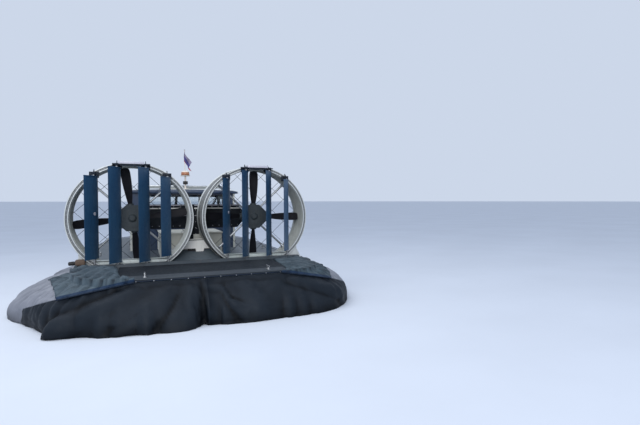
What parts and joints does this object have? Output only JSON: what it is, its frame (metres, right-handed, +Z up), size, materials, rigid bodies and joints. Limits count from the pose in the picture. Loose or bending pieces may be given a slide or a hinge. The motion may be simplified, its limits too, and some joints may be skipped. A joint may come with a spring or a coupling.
{
  "type": "twin-duct passenger hovercraft",
  "caption": "Cabin hovercraft on a flexible skirt, parked: ducted propellers with rudder rows at the stern, a low cabin ahead, opening doors and engine lid.",
  "frame": {"origin": "on the ground under the middle of the skirt's length and width", "axes": "+X forward to the bow, +Y to port, +Z up"},
  "size_m": [10.3997, 5.1, 2.745],
  "materials": {
    "hull_paint": "satin",
    "deck_cloth": "matte",
    "apron_black": "satin",
    "skirt_grey": "matte",
    "skirt_blue": "satin",
    "duct_paint": "satin",
    "rudder_blue": "satin",
    "blade_black": "satin",
    "drive_grey": "matte",
    "tube_alloy": "satin",
    "panel_cream": "satin",
    "trim_blue": "satin",
    "glass": "gloss",
    "seat_cloth": "matte",
    "cast_iron": "matte",
    "amber_lens": "gloss",
    "flag_cloth": "matte",
    "lamp_lens": "gloss"
  },
  "bodies": {
    "craft": {"aft_deck": "deck_cloth", "beacon": "amber_lens", "belt_casing_port": "drive_grey", "belt_casing_starboard": "drive_grey", "bench_middle": "seat_cloth", "bench_rear": "seat_cloth", "bow_bag_port": "skirt_grey", "bow_bag_starboard": "skirt_grey", "cabin_cowl": "panel_cream", "cabin_rear_wall": "trim_blue", "cabin_roof": "trim_blue", "cabin_side_port": "panel_cream", "cabin_side_starboard": "panel_cream", "corner_flap_port": "skirt_blue", "corner_flap_starboard": "skirt_blue", "duct_port": "duct_paint", "duct_starboard": "duct_paint", "engine_block": "cast_iron", "engine_housing": "panel_cream", "flag": "flag_cloth", "headlamp_port": "lamp_lens", "headlamp_starboard": "lamp_lens", "helm_console": "hull_paint", "helm_wheel": "blade_black", "hull": "hull_paint", "mast": "tube_alloy", "pylon_port": "tube_alloy", "pylon_starboard": "tube_alloy", "ramp_cover": "deck_cloth", "rear_window": "glass", "roof_rack": "tube_alloy", "rudder_beam": "deck_cloth", "seat_helm": "seat_cloth", "seat_mate": "seat_cloth", "side_bag_port": "skirt_grey", "side_bag_starboard": "skirt_grey", "side_window_port": "glass", "side_window_starboard": "glass", "stern_apron_port": "apron_black", "stern_apron_starboard": "apron_black", "windscreen_frame": "trim_blue", "windscreen_port": "glass", "windscreen_starboard": "glass"},
    "propeller_port": {"propeller_port": "blade_black"},
    "door_port": {"cabin_door_port": "panel_cream", "door_window_port": "glass"},
    "rudder_port_1": {"rudder_port_1": "rudder_blue"},
    "rudder_port_2": {"rudder_port_2": "rudder_blue"},
    "rudder_port_3": {"rudder_port_3": "rudder_blue"},
    "rudder_port_4": {"rudder_port_4": "rudder_blue"},
    "propeller_starboard": {"propeller_starboard": "blade_black"},
    "door_starboard": {"cabin_door_starboard": "panel_cream", "door_window_starboard": "glass"},
    "rudder_starboard_1": {"rudder_starboard_1": "rudder_blue"},
    "rudder_starboard_2": {"rudder_starboard_2": "rudder_blue"},
    "rudder_starboard_3": {"rudder_starboard_3": "rudder_blue"},
    "rudder_starboard_4": {"rudder_starboard_4": "rudder_blue"},
    "lid": {"engine_lid": "panel_cream"}
  },
  "joints": [
    {"name": "rudder_port_1_turn", "type": "hinge", "parent": "craft", "child": "rudder_port_1", "pos_m": [-3.18, 1.44728, 1.3], "axis": [0, 0, 1], "range_deg": [-10, 60]},
    {"name": "rudder_port_2_turn", "type": "hinge", "parent": "craft", "child": "rudder_port_2", "pos_m": [-3.18, 1.14536, 1.3], "axis": [0, 0, 1], "range_deg": [-10, 60]},
    {"name": "rudder_port_3_turn", "type": "hinge", "parent": "craft", "child": "rudder_port_3", "pos_m": [-3.18, 0.75464, 1.3], "axis": [0, 0, 1], "range_deg": [-10, 60]},
    {"name": "rudder_port_4_turn", "type": "hinge", "parent": "craft", "child": "rudder_port_4", "pos_m": [-3.18, 0.45272, 1.3], "axis": [0, 0, 1], "range_deg": [-10, 60]},
    {"name": "propeller_port_spin", "type": "hinge", "parent": "craft", "child": "propeller_port", "pos_m": [-2.75, 0.95, 1.356], "axis": [1, 0, 0], "continuous": true},
    {"name": "door_port_swing", "type": "hinge", "parent": "craft", "child": "door_port", "pos_m": [1.247, 1.022, 1.2], "axis": [0, 0, -1], "range_deg": [0, 85]},
    {"name": "rudder_starboard_1_turn", "type": "hinge", "parent": "craft", "child": "rudder_starboard_1", "pos_m": [-3.18, -0.45272, 1.3], "axis": [0, 0, 1], "range_deg": [-10, 60]},
    {"name": "rudder_starboard_2_turn", "type": "hinge", "parent": "craft", "child": "rudder_starboard_2", "pos_m": [-3.18, -0.75464, 1.3], "axis": [0, 0, 1], "range_deg": [-10, 60]},
    {"name": "rudder_starboard_3_turn", "type": "hinge", "parent": "craft", "child": "rudder_starboard_3", "pos_m": [-3.18, -1.14536, 1.3], "axis": [0, 0, 1], "range_deg": [-10, 60]},
    {"name": "rudder_starboard_4_turn", "type": "hinge", "parent": "craft", "child": "rudder_starboard_4", "pos_m": [-3.18, -1.44728, 1.3], "axis": [0, 0, 1], "range_deg": [-10, 60]},
    {"name": "propeller_starboard_spin", "type": "hinge", "parent": "craft", "child": "propeller_starboard", "pos_m": [-2.75, -0.95, 1.356], "axis": [1, 0, 0], "continuous": true},
    {"name": "door_starboard_swing", "type": "hinge", "parent": "craft", "child": "door_starboard", "pos_m": [1.247, -1.022, 1.2], "axis": [0, 0, 1], "range_deg": [0, 85]},
    {"name": "engine_lid_lift", "type": "hinge", "parent": "craft", "child": "lid", "pos_m": [-0.735, 0, 1.01], "axis": [0, 1, 0], "range_deg": [0, 75]}
  ],
  "couplings": [
    {"joint": "rudder_port_2_turn", "follows": "rudder_port_1_turn", "ratio": 1},
    {"joint": "rudder_port_3_turn", "follows": "rudder_port_1_turn", "ratio": 1},
    {"joint": "rudder_port_4_turn", "follows": "rudder_port_1_turn", "ratio": 1},
    {"joint": "rudder_starboard_1_turn", "follows": "rudder_port_1_turn", "ratio": 1},
    {"joint": "rudder_starboard_2_turn", "follows": "rudder_port_1_turn", "ratio": 1},
    {"joint": "rudder_starboard_3_turn", "follows": "rudder_port_1_turn", "ratio": 1},
    {"joint": "rudder_starboard_4_turn", "follows": "rudder_port_1_turn", "ratio": 1}
  ]
}
